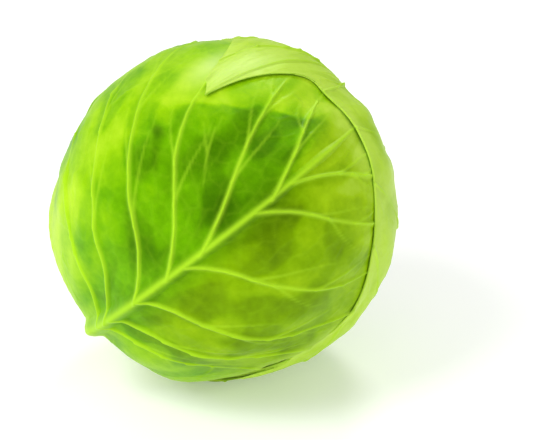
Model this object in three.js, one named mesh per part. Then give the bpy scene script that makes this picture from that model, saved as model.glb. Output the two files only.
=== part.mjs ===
// A head of white cabbage, lying tilted on its side with its cut stem low and to the left.
// The head is a ball of packed inner leaves on a short core. Six wrapper leaves grow from the stem
// and close round the ball one over another. Each is a thin curved blade with a thick midrib, raised
// side veins and a waved margin. Millimetres, +Z up, origin in the middle of the flat resting spot.

import * as THREE from "three";
import { mergeVertices } from "three/addons/utils/BufferGeometryUtils.js";

// Driving dimensions of the head
const HEAD_RADIUS = 88; // the whole head, to the middle of its wrapper leaves
const BALL_RADIUS = 78.5; // the packed heart, without its wrapper leaves
const CENTRE_HEIGHT = 86; // the ball's centre above the surface that it lies on
const AXIS_ELEVATION = 39.7; // degrees: how steeply the axis climbs from the stem to the crown
const AXIS_HEADING = 19.7; // degrees: the axis's heading on the floor, from +X towards +Y
const NECK_HOLLOW = 3; // how far the ball is drawn in round the stem
const NECK_SPREAD = 24; // degrees: how far from the stem that hollow reaches
const FLAT_SPOT_STACK = 8.7; // leaf and gap thickness between the ball and the resting spot
const FLAT_SPOT_SOFTNESS = 0.8;
const FLAT_SPOT_DEPTH = 0.9; // skin closer than this to the surface lies flat on it

// Driving dimensions that all wrapper leaves share
const BLADE = 1.2; // thickness of the blade near the midrib
const BLADE_EDGE = 0.75; // thickness of the blade at its margin
const LEAF_GAP = 1.6; // air between one leaf and the next
const MIDRIB = { halfWidth: [9.5, 1.4], height: [5.2, 0.5] }; // at the base, at the tip
const VEIN = { halfWidth: [3.4, 1.3], height: [1.9, 0.35] }; // at the midrib, at the margin
const PRESSED = 0.12; // how much of its relief a leaf keeps where another lies over it
const RIDGE_SPREAD = 2.2; // a leaf over a vein shows it this many times wider
const VEIN_RUNDOWN = 9; // how far a side vein runs down along the midrib before it joins
const VEIN_RUNDOWN_REACH = 24;
const COVER_CLEARANCE = 10; // a leaf stays lifted this far past the margin of one below it
const COVER_FADE = 22; // and settles over this distance
const PRESS_CLEARANCE = 9; // a leaf stays pressed this far past the margin of one over it
const PRESS_FADE = 14; // and its relief comes back over this distance
const MARGIN_LIFT = 2.4; // how far the margin's waves stand up
const MARGIN_ZONE = 20; // width of the margin that waves

// Stem and core
const STEM_RADIUS = 15;
const STEM_CUT = 81; // distance from the ball's centre to the cut face
const STEM_CHAMFER = 1;
const STEM_LENGTH = 18; // length of the stem's straight outer part
const STEM_SIDES = 24;
const CORE_DEPTH = 34; // distance from the ball's centre to the inner end of the core
const CORE_END_RADIUS = 6;
const STEM_CLEARANCE = 0.5;
const HEART_SIDES = 36;
const HEART_RINGS = 18;
const STEM_COLOUR = 0xe4ecc0;
const HEART_COLOUR = 0xc3e07c;

// Side veins as [where it leaves the midrib, where it ends on the margin in degrees, bow], from the
// base to the tip. The start is a share of the midrib. The margin runs from 0 at the base to 180 at the
// tip. The bow is how far the vein swings towards the base, as a share of its length.
const EVEN_VEINS = [
  [0.04, 66, 0.2],
  [0.11, 88, 0.17],
  [0.22, 108, 0.13],
  [0.36, 127, 0.1],
  [0.53, 146, 0.07],
  [0.72, 163, 0.04],
];
const FRONT_LEFT_VEINS = [
  [0.09, 87, 0.05],
  [0.14, 110, 0.03],
  [0.27, 126, 0.08],
  [0.37, 148, 0.15],
  [0.46, 159.5, 0.06],
  [0.64, 168, 0.06],
];
const FRONT_RIGHT_VEINS = [
  [0.1, 60, 0.02],
  [0.17, 78, 0.08],
  [0.28, 96, 0.12],
  [0.42, 115, 0.1],
  [0.6, 133, 0.06],
  [0.7, 149, 0],
];
const INNER_VEINS = [
  [0.05, 68, 0.18],
  [0.16, 96, 0.14],
  [0.34, 124, 0.1],
  [0.6, 150, 0.06],
];

// Wrapper leaves, from the outermost inwards. Azimuths go round the head's axis, from the level side
// that faces the front, and grow towards the floor. The middle is how far round from the stem the leaf's
// own centre lies. Left and right are as seen from outside with the crown up. Lean is how far the midrib
// stands to the right at its base and at its tip. A tip lobe reaches further by that share, over as many
// degrees of the margin on each side as its lobe says. A leaf with a stand rises from the head at its base.
// Columns are the steps of its surface from the foot of the midrib to the margin.
const LEAVES = [
  { name: "leaf_over_crown", columns: 9, azimuth: 116, middle: 105, base: -144, tip: 160, broadest: 20,
    left: { width: 132, base: 1.2, lobe: 6, veins: EVEN_VEINS },
    right: { width: 120, base: 1.1, lobe: 24, veins: EVEN_VEINS },
    lean: [0, 16], tipLobe: 0.42, waves: 7, phase: 0.4, colour: 0x9fce3a },
  { name: "leaf_front", columns: 8, azimuth: -31, middle: 85, base: -113, tip: 124, broadest: 10,
    left: { width: 160, base: 0.9, veins: FRONT_LEFT_VEINS },
    right: { width: 96, base: 0.5, foot: 24, veins: FRONT_RIGHT_VEINS },
    stand: { lift: 4, reach: 42, corner: { x: 45, y: -98, size: 26, lift: 2.5 } },
    lean: [-5, 19], tipLobe: 0, waves: 8, phase: 2.1, colour: 0x86c21c },
  { name: "leaf_left", columns: 7, azimuth: -141, middle: 88, base: -117, tip: 118, broadest: 8,
    left: { width: 118, base: 1.2, veins: EVEN_VEINS }, right: { width: 112, base: 1.4, veins: EVEN_VEINS },
    lean: [0, 6], tipLobe: 0, waves: 6, phase: 1.2, colour: 0x93c92c },
  { name: "leaf_under", columns: 7, azimuth: 49, middle: 86, base: -114, tip: 116, broadest: 6,
    left: { width: 112, base: 1.0, veins: EVEN_VEINS }, right: { width: 114, base: 1.2, veins: EVEN_VEINS },
    lean: [0, -6], tipLobe: 0, waves: 7, phase: 3.3, colour: 0x8fc725 },
  { name: "leaf_inner_front", columns: 6, azimuth: -66, middle: 92, base: -117, tip: 112, broadest: 6,
    left: { width: 104, base: 1.2, veins: INNER_VEINS }, right: { width: 104, base: 1.2, veins: INNER_VEINS },
    lean: [0, 4], tipLobe: 0, waves: 5, phase: 0.9, colour: 0xa9d653 },
  { name: "leaf_inner_back", columns: 6, azimuth: 159, middle: 92, base: -117, tip: 112, broadest: 6,
    left: { width: 104, base: 1.2, veins: INNER_VEINS }, right: { width: 104, base: 1.2, veins: INNER_VEINS },
    lean: [0, -4], tipLobe: 0, waves: 5, phase: 4.0, colour: 0xa9d653 },
];
const PETIOLE_HALF_WIDTH = 10.5; // of a half without a foot of its own
const PETIOLE_SOLID = 14; // the stalk is solid this far each side of its midline where the base stands off
const BLUNT_TIP = 171; // degrees round the margin where its last, nearly straight stretch begins
const NARROWEST_ROW = 0.22; // a vein's foot lies this share or more of the way to the next vein
const WIDEST_ROW = 0.3;
const MARGIN_SCALLOP = 0.02; // share of its distance from the leaf's centre by which the margin wanders

const rad = THREE.MathUtils.degToRad;
const { lerp, clamp } = THREE.MathUtils;
const ARC = HEAD_RADIUS * (Math.PI / 180); // millimetres of leaf for one degree round the head

// The head's own axes: from the stem to the crown, level towards the front, and down to the floor side.
const centre = new THREE.Vector3(0, 0, CENTRE_HEIGHT);
const crownward = new THREE.Vector3(
  Math.cos(rad(AXIS_ELEVATION)) * Math.cos(rad(AXIS_HEADING)),
  Math.cos(rad(AXIS_ELEVATION)) * Math.sin(rad(AXIS_HEADING)),
  Math.sin(rad(AXIS_ELEVATION)),
);
const frontward = new THREE.Vector3().crossVectors(crownward, new THREE.Vector3(0, 0, 1)).normalize();
const floorward = new THREE.Vector3().crossVectors(crownward, frontward);

function smooth(value, from, to) {
  const t = clamp((value - from) / (to - from), 0, 1);
  return t * t * (3 - 2 * t);
}

// A rounded ridge: 1 on its crest, 0 at its foot and beyond.
function ridge(distance, halfWidth) {
  const t = Math.min(distance / halfWidth, 1);
  return (1 - t * t) ** 2;
}

// Distance from the ball's centre to the surface of the packed heart's widest shape in a direction.
function ballRadius(direction) {
  const fromStem = Math.acos(clamp(-direction.dot(crownward), -1, 1)) * (180 / Math.PI);
  const azimuth = Math.atan2(direction.dot(floorward), direction.dot(frontward));
  const hollow = NECK_HOLLOW * Math.exp(-((fromStem / NECK_SPREAD) ** 2));
  const sides = Math.sin(rad(fromStem)) ** 2;
  const uneven = 0.9 * Math.sin(3 * azimuth + 0.5) * sides + 0.6 * Math.sin(5 * azimuth + rad(2 * fromStem)) * sides;
  const round = BALL_RADIUS - hollow + uneven;
  const down = -direction.z;
  if (down < 0.5) return round;
  const floor = (CENTRE_HEIGHT - FLAT_SPOT_STACK) / down;
  const k = FLAT_SPOT_SOFTNESS;
  return Math.min(round, floor) - k * Math.log(1 + Math.exp(-Math.abs(round - floor) / k));
}

// Measures that follow from a leaf's row in the table: its own axes, its vein lines and its outline.
function layOut(leaf) {
  const outward = new THREE.Vector3()
    .addScaledVector(frontward, Math.cos(rad(leaf.azimuth)))
    .addScaledVector(floorward, Math.sin(rad(leaf.azimuth)));
  const middle = rad(leaf.middle);
  const facing = outward.clone().multiplyScalar(Math.sin(middle)).addScaledVector(crownward, -Math.cos(middle));
  const along = outward.clone().multiplyScalar(Math.cos(middle)).addScaledVector(crownward, Math.sin(middle));
  const across = new THREE.Vector3().crossVectors(crownward, outward);
  const made = { ...leaf, facing, along, across };
  made.midrib = line(14, (t) => midribPoint(made, t));
  made.veins = [];
  for (const side of [-1, 1])
    sideOf(made, side).veins.forEach((_, i) => made.veins.push(line(12, (t) => bladePoint(made, side, i + 1, t))));
  const rows = sideOf(made, 1).veins.length + 1;
  const right = line(4 * rows, (t) => bladePoint(made, 1, t * rows, 1));
  const left = line(4 * rows, (t) => bladePoint(made, -1, t * rows, 1));
  made.outline = [...right, midribPoint(made, 1), ...left.reverse()];
  return made;
}

function line(steps, point) {
  return Array.from({ length: steps + 1 }, (_, i) => point(i / steps));
}

function sideOf(leaf, side) {
  return side < 0 ? leaf.left : leaf.right;
}

// A leaf with a lobe at its tip reaches further there.
function tipOf(leaf) {
  return leaf.broadest + (leaf.tip - leaf.broadest) * (1 + leaf.tipLobe);
}

// The leaf is laid out flat first, in millimetres: x across it, y along it, (0, 0) at its centre.
function midribPoint(leaf, t) {
  return [lerp(...leaf.lean, t), lerp(leaf.base, tipOf(leaf), t)];
}

// A point of the flat margin. The angle runs from 0 at the base to 180 at the tip.
function marginPoint(leaf, side, degrees) {
  const half = sideOf(leaf, side);
  const a = rad(degrees);
  const rise = degrees < 90 ? Math.sin(a) ** half.base : Math.sin(a);
  const reach = degrees < 90 ? leaf.broadest - leaf.base : leaf.tip - leaf.broadest;
  const scallop = 1 + MARGIN_SCALLOP * Math.sin(leaf.waves * a + leaf.phase * side) * Math.sin(a) ** 2;
  const lobe = leaf.tipLobe ? leaf.tipLobe * Math.exp(-(((180 - degrees) / half.lobe) ** 2)) : 0;
  const stretch = scallop + lobe;
  const middleLine = lerp(...leaf.lean, smooth(degrees, 0, 180));
  const foot = half.foot ?? PETIOLE_HALF_WIDTH;
  const reachOut = degrees < 90 ? lerp(foot, half.width, rise) : half.width * rise;
  return [side * reachOut * stretch + middleLine, leaf.broadest - Math.cos(a) * reach * stretch];
}

// A point of the flat blade. Row 0 is the leaf's base, whole rows are the side veins, and the last row
// is the tip. t runs from the midrib to the margin.
function bladePoint(leaf, side, row, t) {
  const veins = [[0, 0, 0], ...sideOf(leaf, side).veins, [1, BLUNT_TIP, 0]];
  const i = Math.min(Math.floor(row), veins.length - 2);
  const [start, angle, bow] = veins[i].map((value, k) => lerp(value, veins[i + 1][k], row - i));
  const from = midribPoint(leaf, start);
  const to = marginPoint(leaf, side, angle);
  const [dx, dy] = [to[0] - from[0], to[1] - from[1]];
  const swing = bow * Math.sin(Math.PI * t);
  const length = Math.hypot(dx, dy);
  const rundown = VEIN_RUNDOWN * Math.min(1, 6 * start, 6 * (1 - start));
  const down = rundown * Math.max(0, 1 - (t * length) / VEIN_RUNDOWN_REACH) ** 2;
  return [from[0] + dx * t + side * dy * swing, from[1] + dy * t - side * dx * swing - down];
}

// Distance from a flat point to a line of points, and how far along the line the nearest point is.
function nearest([x, y], points) {
  let best = { distance: Infinity, t: 0 };
  for (let i = 0; i < points.length - 1; i++) {
    const [ax, ay] = points[i];
    const [dx, dy] = [points[i + 1][0] - ax, points[i + 1][1] - ay];
    const f = clamp(((x - ax) * dx + (y - ay) * dy) / (dx * dx + dy * dy), 0, 1);
    const distance = Math.hypot(x - ax - f * dx, y - ay - f * dy);
    if (distance < best.distance) best = { distance, t: (i + f) / (points.length - 1) };
  }
  return best;
}

// How far a flat point lies outside the leaf. Inside it, the distance is negative.
function outside(leaf, [x, y]) {
  const points = [...leaf.outline, leaf.outline[0]];
  let inside = false;
  for (let i = 0; i < points.length - 1; i++) {
    const [[ax, ay], [bx, by]] = [points[i], points[i + 1]];
    if (ay > y !== by > y && x < ((bx - ax) * (y - ay)) / (by - ay) + ax) inside = !inside;
  }
  return nearest([x, y], points).distance * (inside ? -1 : 1);
}

// Height of the midrib and side veins over the blade, with ridges spread wider for a leaf that lies over.
function relief(leaf, point, spread = 1) {
  const rib = nearest(point, leaf.midrib);
  const ribHeight = lerp(MIDRIB.height[0], MIDRIB.height[1], rib.t ** 0.7);
  const ribWidth = lerp(MIDRIB.halfWidth[0], MIDRIB.halfWidth[1], rib.t ** 0.6) * spread;
  let height = ribHeight * ridge(rib.distance, ribWidth);
  for (const vein of leaf.veins) {
    const near = nearest(point, vein);
    const width = lerp(VEIN.halfWidth[0], VEIN.halfWidth[1], near.t) * spread;
    const top = lerp(VEIN.height[0], VEIN.height[1], near.t) * ridge(near.distance, width);
    height = Math.hypot(height, top);
  }
  return height;
}

// How far a leaf stands off the head at its base, and more so at one corner of it.
function standOff(leaf, [x, y]) {
  if (!leaf.stand) return 0;
  const { lift, reach, corner } = leaf.stand;
  const away = ((x - corner.x) / corner.size) ** 2 + ((y - corner.y) / corner.size) ** 2;
  return lift * (1 - smooth(y, leaf.base, leaf.base + reach)) + corner.lift * Math.exp(-away);
}

// From a flat point of a leaf to its direction from the ball's centre, and back.
function directionOf(leaf, [x, y]) {
  const along = Math.hypot(x, y);
  const angle = rad(along / ARC);
  const share = along < 1e-9 ? rad(1 / ARC) : Math.sin(angle) / along;
  return leaf.facing.clone().multiplyScalar(Math.cos(angle))
    .addScaledVector(leaf.across, x * share).addScaledVector(leaf.along, y * share);
}
function flatPoint(leaf, direction) {
  const [x, y] = [direction.dot(leaf.across), direction.dot(leaf.along)];
  const angle = Math.acos(clamp(direction.dot(leaf.facing), -1, 1)) * (180 / Math.PI);
  const share = (angle * ARC) / Math.max(Math.hypot(x, y), 1e-9);
  return [x * share, y * share];
}

// The two faces of a leaf at a flat point, as distances from the ball's centre. The leaf rests on the
// heart and on every leaf below it, and is pressed flat where another covers it. Its facets cut under
// the round of the ball by the sag, so its points stand out by as much.
function faces(leaves, index, point, sag) {
  const leaf = leaves[index];
  const direction = directionOf(leaf, point);
  let inner = ballRadius(direction) + LEAF_GAP + sag;
  for (const below of leaves.slice(index + 1)) {
    const there = flatPoint(below, direction);
    const cover = 1 - smooth(outside(below, there), COVER_CLEARANCE, COVER_CLEARANCE + COVER_FADE);
    if (cover === 0) continue;
    inner += cover * (BLADE + LEAF_GAP + standOff(below, there) + PRESSED * relief(below, there, RIDGE_SPREAD));
  }
  let pressed = 0;
  for (const above of leaves.slice(0, index)) {
    const away = outside(above, flatPoint(above, direction));
    pressed = Math.max(pressed, 1 - smooth(away, PRESS_CLEARANCE, PRESS_CLEARANCE + PRESS_FADE));
  }
  const free = 1 - pressed;
  const depth = -outside(leaf, point);
  const petiole = smooth(point[1], leaf.base, leaf.base + 45);
  const wave = 0.5 + 0.5 * Math.sin(leaf.waves * 1.7 * Math.atan2(point[0], point[1]) + leaf.phase);
  const lift = MARGIN_LIFT * wave * petiole * free * (1 - smooth(depth, 0, MARGIN_ZONE)) ** 1.5;
  const blade = lerp(BLADE, BLADE_EDGE, 1 - smooth(depth, 0, MARGIN_ZONE));
  const stand = standOff(leaf, point);
  const outer = inner + lift + stand + blade + relief(leaf, point) * lerp(1, PRESSED, pressed);
  inner += lift + stand * (1 - ridge(nearest(point, leaf.midrib).distance, PETIOLE_SOLID));
  return { direction, inner, outer };
}

// The rows of a leaf's grid: its base, the foot, crest and foot of each side vein with a row between two
// veins, and its tip. A foot is given by its vein and the way from it. The wide stretches before the first
// vein and after the last one have rows of their own.
function rowsOf(leaf) {
  const veins = leaf.left.veins.length;
  const rows = [{ row: 0 }, { row: 0.22 }, { row: 0.44 }, { row: 0.64 }];
  for (let i = 1; i <= veins; i++) {
    rows.push({ row: i, foot: -1 }, { row: i }, { row: i, foot: 1 });
    if (i < veins) rows.push({ row: i + 0.5 });
  }
  rows.push({ row: veins + 0.45 }, { row: veins + 0.62 }, { row: veins + 0.8 }, { row: veins + 1 });
  return rows;
}

// A flat point of the grid. Columns run from the left margin through the midrib to the right one.
function gridPoint(leaf, { row, foot = 0 }, column) {
  const side = column < 0 ? -1 : 1;
  const step = Math.abs(column);
  const reach = Math.hypot(...vectorOf(bladePoint(leaf, side, row, 0), bladePoint(leaf, side, row, 1)));
  const shareAlong = clamp((bladePoint(leaf, side, row, 0)[1] - leaf.base) / (tipOf(leaf) - leaf.base), 0, 1);
  const ribFoot = Math.min(1.25 * lerp(MIDRIB.halfWidth[0], MIDRIB.halfWidth[1], shareAlong ** 0.6), 0.6 * reach);
  const t = step < 3 ? (step * ribFoot) / 2 / reach : lerp(ribFoot / reach, 1, (step - 2) / leaf.columns);
  const here = bladePoint(leaf, side, row, t);
  if (!foot) return here;
  const next = bladePoint(leaf, side, row + foot, t);
  const spacing = Math.hypot(...vectorOf(here, next));
  const width = lerp(VEIN.halfWidth[0], VEIN.halfWidth[1], t);
  return bladePoint(leaf, side, row + foot * clamp(width / spacing, NARROWEST_ROW, WIDEST_ROW), t);
}

function vectorOf(from, to) {
  return [to[0] - from[0], to[1] - from[1]];
}

// How far facets as wide as those round a grid point cut under the round of the ball.
function sagAt(flat, row, column) {
  const here = flat[row][column];
  const around = [flat[row - 1]?.[column], flat[row + 1]?.[column], flat[row][column - 1], flat[row][column + 1]];
  const widest = Math.max(...around.filter(Boolean).map((point) => Math.hypot(...vectorOf(here, point))));
  return widest ** 2 / (8 * BALL_RADIUS);
}

// A wrapper leaf as one closed blade: its outer face, its inner face and the rim that joins them.
function leafGeometry(leaves, index) {
  const leaf = leaves[index];
  const rows = rowsOf(leaf);
  const most = leaf.columns + 2;
  const width = 2 * most + 1;
  const positions = [];
  const flat = rows.map((row) => Array.from({ length: width }, (_, c) => gridPoint(leaf, row, c - most)));
  for (const face of ["outer", "inner"])
    for (let r = 0; r < rows.length; r++)
      for (let c = 0; c < width; c++) {
        const at = faces(leaves, index, flat[r][c], sagAt(flat, r, c));
        const place = at.direction.multiplyScalar(at[face]).add(centre);
        if (place.z < FLAT_SPOT_DEPTH) place.z = 0;
        positions.push(place.x, place.y, place.z);
      }
  const at = (face, row, column) => (face * rows.length + row) * width + column;
  const triangles = [];
  const quad = (a, b, c, d) => triangles.push(a, b, c, a, c, d);
  for (let r = 0; r < rows.length - 1; r++)
    for (let c = 0; c < width - 1; c++) {
      quad(at(0, r, c), at(0, r, c + 1), at(0, r + 1, c + 1), at(0, r + 1, c));
      const [a, b, d, e] = [at(1, r, c), at(1, r, c + 1), at(1, r + 1, c + 1), at(1, r + 1, c)];
      triangles.push(a, d, b, a, e, d);
    }
  const end = rows.length - 1;
  for (let c = 0; c < width - 1; c++) {
    quad(at(0, 0, c + 1), at(0, 0, c), at(1, 0, c), at(1, 0, c + 1));
    quad(at(0, end, c), at(0, end, c + 1), at(1, end, c + 1), at(1, end, c));
  }
  for (let r = 0; r < rows.length - 1; r++) {
    quad(at(0, r + 1, width - 1), at(0, r, width - 1), at(1, r, width - 1), at(1, r + 1, width - 1));
    quad(at(0, r, 0), at(0, r + 1, 0), at(1, r + 1, 0), at(1, r, 0));
  }
  return closed(positions, triangles);
}

// A geometry whose like points are one, without the triangles that this leaves with no width.
function closed(positions, triangles) {
  const geometry = new THREE.BufferGeometry();
  geometry.setAttribute("position", new THREE.Float32BufferAttribute(positions, 3));
  geometry.setIndex(triangles);
  const merged = mergeVertices(geometry, 1e-3);
  const kept = [];
  for (let i = 0; i < merged.index.count; i += 3) {
    const [a, b, c] = merged.index.array.slice(i, i + 3);
    if (a !== b && b !== c && c !== a) kept.push(a, b, c);
  }
  merged.setIndex(kept);
  merged.computeVertexNormals();
  return merged;
}

// The stem and core: turned round the head's axis, from the cut face to the point inside the heart.
function stemGeometry() {
  const profile = [
    [0, CORE_DEPTH],
    [CORE_END_RADIUS, CORE_DEPTH + 1],
    [STEM_RADIUS, STEM_CUT - STEM_LENGTH],
    [STEM_RADIUS, STEM_CUT - STEM_CHAMFER],
    [STEM_RADIUS - STEM_CHAMFER, STEM_CUT],
    [0, STEM_CUT],
  ];
  const turned = new THREE.LatheGeometry(profile.map(([r, y]) => new THREE.Vector2(r, y)), STEM_SIDES);
  return alongStem(closed(turned.attributes.position.array, [...turned.index.array]));
}

// The packed heart: the ball, with a socket round the core that runs up into it.
function heartGeometry() {
  const positions = [];
  const triangles = [];
  const rim = STEM_RADIUS + STEM_CLEARANCE;
  const end = CORE_END_RADIUS + STEM_CLEARANCE;
  const put = (direction, distance) => {
    const place = direction.multiplyScalar(distance).add(centre);
    positions.push(place.x, place.y, place.z);
  };
  const aroundAxis = (radius, depth, turn) => crownward.clone().multiplyScalar(-depth)
    .addScaledVector(frontward, radius * Math.cos(turn)).addScaledVector(floorward, radius * Math.sin(turn));
  const turns = Array.from({ length: HEART_SIDES }, (_, i) => (i / HEART_SIDES) * 2 * Math.PI);
  const firstRing = Math.asin(rim / (BALL_RADIUS - NECK_HOLLOW));
  put(crownward.clone().negate(), CORE_DEPTH - STEM_CLEARANCE);
  for (const turn of turns) put(aroundAxis(end, CORE_DEPTH - STEM_CLEARANCE, turn), 1);
  for (const turn of turns) put(aroundAxis(rim, STEM_CUT - STEM_LENGTH - STEM_CLEARANCE, turn), 1);
  for (let ring = 0; ring < HEART_RINGS; ring++) {
    const fromStem = lerp(firstRing, Math.PI, ring / HEART_RINGS);
    for (const turn of turns) {
      const direction = aroundAxis(Math.sin(fromStem), Math.cos(fromStem), turn).normalize();
      put(direction, ballRadius(direction));
    }
  }
  put(crownward.clone(), ballRadius(crownward));
  const last = positions.length / 3 - 1;
  const rings = HEART_RINGS + 2;
  for (let i = 0; i < HEART_SIDES; i++) {
    const j = (i + 1) % HEART_SIDES;
    triangles.push(0, 1 + j, 1 + i);
    for (let ring = 0; ring < rings - 1; ring++) {
      const [a, b] = [1 + ring * HEART_SIDES, 1 + (ring + 1) * HEART_SIDES];
      triangles.push(a + i, a + j, b + j, a + i, b + j, b + i);
    }
    const top = 1 + (rings - 1) * HEART_SIDES;
    triangles.push(top + i, top + j, last);
  }
  return closed(positions, triangles);
}

// Turns a shape made round +Y so that +Y points from the ball's centre out through the stem.
function alongStem(geometry) {
  const turn = new THREE.Matrix4().makeBasis(frontward, crownward.clone().negate(), floorward);
  return geometry.applyMatrix4(turn).translate(centre.x, centre.y, centre.z);
}

function addPiece(group, name, geometry, color, roughness) {
  const mesh = new THREE.Mesh(geometry, new THREE.MeshStandardMaterial({ color, roughness, metalness: 0 }));
  mesh.name = name;
  group.add(mesh);
}

const leaves = LEAVES.map(layOut);
const head = new THREE.Group();
addPiece(head, "stem", stemGeometry(), STEM_COLOUR, 0.7);
addPiece(head, "heart", heartGeometry(), HEART_COLOUR, 0.5);
leaves.forEach((leaf, index) => addPiece(head, leaf.name, leafGeometry(leaves, index), leaf.colour, 0.45));

export default head;
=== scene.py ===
# %% [markdown]
# # A head of cabbage
# A cabbage is a ball of leaves on one short stem. Nearly everything that the eye reads as cabbage is on
# the outermost leaves: a thick pale midrib, side veins that fan out from it, a blade that puffs up
# between the veins, and a thin waved edge. This notebook makes each of those leaves as a real curved
# blade, lays them over each other in the order in which they grew, and colours them.

# %% Load the measured model
import math

import bmesh
import bpy
import numpy as np
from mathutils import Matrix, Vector, kdtree
from mathutils.bvhtree import BVHTree


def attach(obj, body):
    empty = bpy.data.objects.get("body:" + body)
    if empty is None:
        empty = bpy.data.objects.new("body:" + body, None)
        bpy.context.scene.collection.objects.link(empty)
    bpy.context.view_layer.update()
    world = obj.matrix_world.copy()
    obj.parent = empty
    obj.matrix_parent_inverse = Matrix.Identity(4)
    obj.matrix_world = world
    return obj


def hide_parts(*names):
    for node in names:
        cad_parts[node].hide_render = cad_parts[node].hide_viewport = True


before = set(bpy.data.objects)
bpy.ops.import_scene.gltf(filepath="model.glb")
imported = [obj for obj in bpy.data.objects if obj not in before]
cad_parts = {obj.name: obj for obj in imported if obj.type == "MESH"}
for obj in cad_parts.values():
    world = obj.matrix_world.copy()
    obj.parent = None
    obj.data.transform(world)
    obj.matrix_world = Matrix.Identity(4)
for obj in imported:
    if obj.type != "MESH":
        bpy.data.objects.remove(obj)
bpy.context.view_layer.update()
print("nodes:", ", ".join(sorted(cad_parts)))

# %% [markdown]
# ## The camera
# A product photograph of food is taken from a little above the table with a long lens, which keeps a
# round thing round. A long lens from further away is chosen here rather than a wide one close by. The
# head stands left of the middle of the picture, so the camera is shifted, not turned: a shift moves the
# picture on the film and leaves the shape as it is.

# %% Camera
MM = 0.001
PICTURE = (550, 440)  # pixels
HEAD_IN_PICTURE = (226.5, 212)  # where the middle of the head stands, in pixels
HEAD_PIXELS = 174  # its radius there
HEAD_RADIUS = 88  # the whole head, to the middle of its wrapper leaves, in millimetres
CENTRE_HEIGHT = 86  # the head's centre above the surface that it lies on
VIEW_ELEVATION = 25
LENS = 120
SENSOR = 36

pixels_per_tangent = LENS / SENSOR * PICTURE[0]
distance = HEAD_RADIUS / math.sin(math.atan(HEAD_PIXELS / pixels_per_tangent))
tilt = math.radians(VIEW_ELEVATION)
camera_data = bpy.data.cameras.new("camera")
camera_data.lens = LENS
camera_data.sensor_width = SENSOR
camera_data.shift_x = (PICTURE[0] / 2 - HEAD_IN_PICTURE[0]) / PICTURE[0]
camera_data.shift_y = (HEAD_IN_PICTURE[1] - PICTURE[1] / 2) / PICTURE[0]
camera = bpy.data.objects.new("camera", camera_data)
camera.location = Vector((0, -distance * math.cos(tilt), CENTRE_HEIGHT + distance * math.sin(tilt))) * MM
camera.rotation_euler = (math.pi / 2 - tilt, 0, 0)
bpy.context.scene.collection.objects.link(camera)
bpy.context.scene.camera = camera
print(f"camera {distance:.0f} mm from the middle of the head")

# %% [markdown]
# ## The ball and its axis
# The head lies tilted: its cut stem is low at the left and its crown is high at the right. All leaves are
# described from that axis, so three directions are set first: towards the crown, towards the viewer's
# side, and towards the floor side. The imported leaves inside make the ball. It isn't a perfect sphere:
# it is hollowed a little round the stem, uneven at its waist, and flat where it lies.

# %% Axis and ball
BALL_RADIUS = 78.5
AXIS_ELEVATION = 39.7
AXIS_HEADING = 19.7
NECK_HOLLOW = 3
NECK_SPREAD = 24
FLAT_SPOT_STACK = 8.7
FLAT_SPOT_SOFTNESS = 0.8
ARC = HEAD_RADIUS * math.pi / 180  # millimetres of leaf for one degree round the head

centre = np.array([0, 0, CENTRE_HEIGHT], dtype=float)
rise, heading = math.radians(AXIS_ELEVATION), math.radians(AXIS_HEADING)
crownward = np.array([math.cos(rise) * math.cos(heading), math.cos(rise) * math.sin(heading), math.sin(rise)])
frontward = np.cross(crownward, [0, 0, 1])
frontward /= np.linalg.norm(frontward)
floorward = np.cross(crownward, frontward)


def smooth(value, start, end):
    t = np.clip((value - start) / (end - start), 0, 1)
    return t * t * (3 - 2 * t)


def ridge(distance_, half_width):
    t = np.minimum(distance_ / half_width, 1)
    return (1 - t * t) ** 2


def lerp(start, end, t):
    return start + (end - start) * t


def ball_radius(directions):
    from_stem = np.degrees(np.arccos(np.clip(-directions @ crownward, -1, 1)))
    azimuth = np.arctan2(directions @ floorward, directions @ frontward)
    hollow = NECK_HOLLOW * np.exp(-((from_stem / NECK_SPREAD) ** 2))
    sides = np.sin(np.radians(from_stem)) ** 2
    uneven = (0.9 * np.sin(3 * azimuth + 0.5) + 0.6 * np.sin(5 * azimuth + np.radians(2 * from_stem))) * sides
    round_ = BALL_RADIUS - hollow + uneven
    down = -directions[:, 2]
    floor = (CENTRE_HEIGHT - FLAT_SPOT_STACK) / np.maximum(down, 0.5)
    gap = -np.abs(round_ - floor) / FLAT_SPOT_SOFTNESS
    pressed = np.minimum(round_, floor) - FLAT_SPOT_SOFTNESS * np.log1p(np.exp(gap))
    return np.where(down < 0.5, round_, pressed)


print("the axis points to", [round(float(value), 3) for value in crownward])

# %% [markdown]
# ## The leaves, laid out flat
# A leaf is easiest to think of flat, as if peeled off and pressed. Each row of the table is one leaf:
# where round the head it sits, how long and wide it is, and where its side veins leave the midrib and
# end on the margin. A table is chosen over separate code for each leaf, because all cabbage leaves are
# built alike and differ only in these numbers.

# %% The table of leaves
BLADE = 1.2
BLADE_EDGE = 0.75
LEAF_GAP = 1.6
PETIOLE_HALF_WIDTH = 10.5
PETIOLE_SOLID = 14
BLUNT_TIP = 171
VEIN_RUNDOWN = 9
VEIN_RUNDOWN_REACH = 24

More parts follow.
